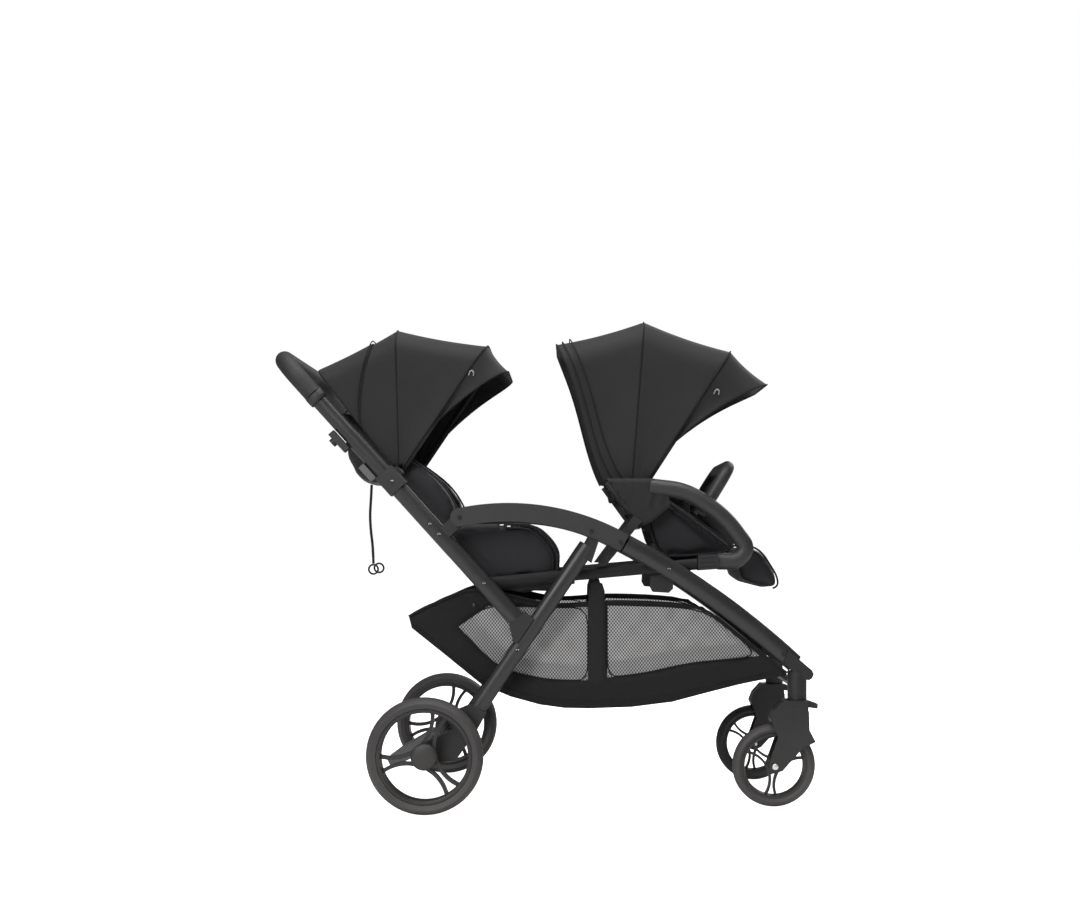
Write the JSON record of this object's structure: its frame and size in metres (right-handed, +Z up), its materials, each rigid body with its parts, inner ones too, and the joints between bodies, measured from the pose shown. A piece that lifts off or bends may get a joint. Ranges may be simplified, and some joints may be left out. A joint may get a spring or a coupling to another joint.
{
  "type": "tandem stroller",
  "caption": "Folding tandem stroller with two seats in line, each with a canopy, an under-seat basket, swivel front casters and a telescoping push bar.",
  "frame": {"origin": "on the floor under the middle of the whole stroller", "axes": "+X forward along the direction of travel, +Y to the child's left, +Z up"},
  "size_m": [1.1576, 0.606, 1.043],
  "materials": {
    "tube": "satin graphite coat",
    "arch_plastic": "matt charcoal",
    "black_plastic": "matt black",
    "grey_plastic": "matt grey",
    "foam": "fine-grained soft cover",
    "grip": "soft-touch",
    "seat_fabric": "woven",
    "canopy_fabric": "woven",
    "basket_mesh": "open mesh with woven bands",
    "webbing": "ribbed webbing",
    "screw": "blackened",
    "tyre": "foam tread",
    "wheel_plastic": "satin black"
  },
  "bodies": {
    "front_frame": {"side_arches": "arch_plastic", "front_legs": "tube", "front_knuckles": "black_plastic", "seat_rails": "tube", "rail_struts": "black_plastic", "cross_tubes": "tube", "rail_fittings": "black_plastic", "arm_rings": "foam", "ring_fittings": "black_plastic", "rear_seat_base": "seat_fabric", "front_seat_base": "seat_fabric", "seat_boards": "black_plastic", "basket": "basket_mesh", "basket_straps": "webbing", "harness_buckles": "black_plastic", "frame_screws": "screw", "front_canopy_back_panel": "canopy_fabric", "front_seat_frame": "tube"},
    "rear_frame": {"rear_legs": "tube", "leg_fittings": "black_plastic", "wheel_brackets": "black_plastic", "rear_axle_tube": "tube"},
    "brake": {"brake_pedal": "grey_plastic"},
    "rear_wheel_right": {"rear_tyre_right": "tyre", "rear_rim_right": "wheel_plastic"},
    "rear_wheel_left": {"rear_tyre_left": "tyre", "rear_rim_left": "wheel_plastic"},
    "handle": {"lower_handle_tubes": "tube", "handle_fittings": "black_plastic", "rear_canopy_back_panel": "canopy_fabric"},
    "handle_top": {"upper_handle_tube": "tube", "handle_grip": "grip"},
    "slide_button_right": {"slide_button_right": "black_plastic"},
    "slide_button_left": {"slide_button_left": "black_plastic"},
    "fold_levers": {"fold_levers": "grey_plastic"},
    "rear_backrest": {"rear_backrest_pad": "seat_fabric", "back_pocket": "seat_fabric", "recline_strap": "webbing", "strap_rings": "black_plastic"},
    "front_backrest": {"front_backrest_pad": "seat_fabric"},
    "rear_canopy_centre": {"rear_canopy_centre_panel": "canopy_fabric", "rear_canopy_centre_bow": "black_plastic"},
    "rear_canopy_front": {"rear_canopy_visor": "canopy_fabric", "rear_canopy_front_bow": "black_plastic"},
    "front_canopy_centre": {"front_canopy_centre_panel": "canopy_fabric", "front_canopy_centre_bow": "black_plastic"},
    "front_canopy_front": {"front_canopy_visor": "canopy_fabric", "front_canopy_front_bow": "black_plastic"},
    "bumper_bar": {"bumper_bar": "foam"},
    "calf_rest": {"calf_rest": "seat_fabric"},
    "caster_right": {"caster_fork_right": "black_plastic"},
    "front_wheel_right": {"front_tyre_right": "tyre", "front_rim_right": "wheel_plastic"},
    "swivel_lock_right": {"swivel_lock_right": "black_plastic"},
    "caster_left": {"caster_fork_left": "black_plastic"},
    "front_wheel_left": {"front_tyre_left": "tyre", "front_rim_left": "wheel_plastic"},
    "swivel_lock_left": {"swivel_lock_left": "black_plastic"}
  },
  "joints": [
    {"name": "fold", "type": "hinge", "parent": "front_frame", "child": "rear_frame", "pos_m": [0.097, 0, 0.588], "axis": [0, -1, 0], "range_deg": [0, 60], "deforming": ["basket", "basket_straps"]},
    {"name": "handle_fold", "type": "hinge", "parent": "front_frame", "child": "handle", "pos_m": [-0.179, 0, 0.617], "axis": [0, -1, 0], "range_deg": [0, 20]},
    {"name": "handle_slide", "type": "slide", "parent": "handle", "child": "handle_top", "axis": [0.6704, 0, -0.742], "range_m": [0, 0.05]},
    {"name": "slide_button_right", "type": "slide", "parent": "handle", "child": "slide_button_right", "axis": [0.742, 0, 0.6704], "range_m": [0, 0.004], "stiffness_N_per_m": 400},
    {"name": "slide_button_left", "type": "slide", "parent": "handle", "child": "slide_button_left", "axis": [0.742, 0, 0.6704], "range_m": [0, 0.004], "stiffness_N_per_m": 400},
    {"name": "fold_lever", "type": "hinge", "parent": "handle", "child": "fold_levers", "pos_m": [-0.38262, 0, 0.72841], "axis": [0, 1, 0], "range_deg": [0, 12], "stiffness_Nm_per_rad": 0.6},
    {"name": "rear_recline", "type": "hinge", "parent": "handle", "child": "rear_backrest", "pos_m": [-0.201, 0, 0.5585], "axis": [0, -1, 0], "range_deg": [0, 25]},
    {"name": "front_recline", "type": "hinge", "parent": "front_frame", "child": "front_backrest", "pos_m": [0.196, 0, 0.612], "axis": [0, -1, 0], "range_deg": [0, 25]},
    {"name": "rear_canopy_centre", "type": "hinge", "parent": "handle", "child": "rear_canopy_centre", "pos_m": [-0.316, 0, 0.712], "axis": [0, -1, 0], "range_deg": [0, 34]},
    {"name": "rear_canopy_front", "type": "hinge", "parent": "rear_canopy_centre", "child": "rear_canopy_front", "pos_m": [-0.316, 0, 0.712], "axis": [0, -1, 0], "range_deg": [0, 34]},
    {"name": "front_canopy_centre", "type": "hinge", "parent": "front_frame", "child": "front_canopy_centre", "pos_m": [0.181, 0, 0.64], "axis": [0, -1, 0], "range_deg": [0, 26]},
    {"name": "front_canopy_front", "type": "hinge", "parent": "front_canopy_centre", "child": "front_canopy_front", "pos_m": [0.181, 0, 0.64], "axis": [0, -1, 0], "range_deg": [0, 26]},
    {"name": "bumper_bar", "type": "hinge", "parent": "front_frame", "child": "bumper_bar", "pos_m": [0.34, 0, 0.636], "axis": [0, 1, 0], "range_deg": [0, 60]},
    {"name": "calf_rest", "type": "hinge", "parent": "front_frame", "child": "calf_rest", "pos_m": [0.404, 0, 0.533], "axis": [0, -1, 0], "range_deg": [0, 50]},
    {"name": "caster_swivel_right", "type": "hinge", "parent": "front_frame", "child": "caster_right", "pos_m": [0.537, -0.18, 0.229], "axis": [0, 0, 1], "continuous": true},
    {"name": "front_wheel_right", "type": "hinge", "parent": "caster_right", "child": "front_wheel_right", "pos_m": [0.487, -0.18, 0.0885], "axis": [0, 1, 0], "continuous": true},
    {"name": "rear_wheel_right", "type": "hinge", "parent": "rear_frame", "child": "rear_wheel_right", "pos_m": [-0.249, -0.28, 0.122], "axis": [0, 1, 0], "continuous": true},
    {"name": "swivel_lock_right", "type": "slide", "parent": "caster_right", "child": "swivel_lock_right", "axis": [0, 0, 1], "range_m": [0, 0.004]},
    {"name": "caster_swivel_left", "type": "hinge", "parent": "front_frame", "child": "caster_left", "pos_m": [0.537, 0.18, 0.229], "axis": [0, 0, 1], "continuous": true},
    {"name": "front_wheel_left", "type": "hinge", "parent": "caster_left", "child": "front_wheel_left", "pos_m": [0.487, 0.18, 0.0885], "axis": [0, 1, 0], "continuous": true},
    {"name": "rear_wheel_left", "type": "hinge", "parent": "rear_frame", "child": "rear_wheel_left", "pos_m": [-0.249, 0.28, 0.122], "axis": [0, 1, 0], "continuous": true},
    {"name": "swivel_lock_left", "type": "slide", "parent": "caster_left", "child": "swivel_lock_left", "axis": [0, 0, 1], "range_m": [0, 0.004]},
    {"name": "brake_pedal", "type": "hinge", "parent": "rear_frame", "child": "brake", "pos_m": [-0.249, 0, 0.122], "axis": [0, -1, 0], "range_deg": [0, 16]}
  ],
  "couplings": [
    {"joint": "handle_fold", "follows": "fold", "ratio": 0.33333},
    {"joint": "rear_canopy_front", "follows": "rear_canopy_centre", "ratio": 1},
    {"joint": "front_canopy_front", "follows": "front_canopy_centre", "ratio": 1}
  ]
}
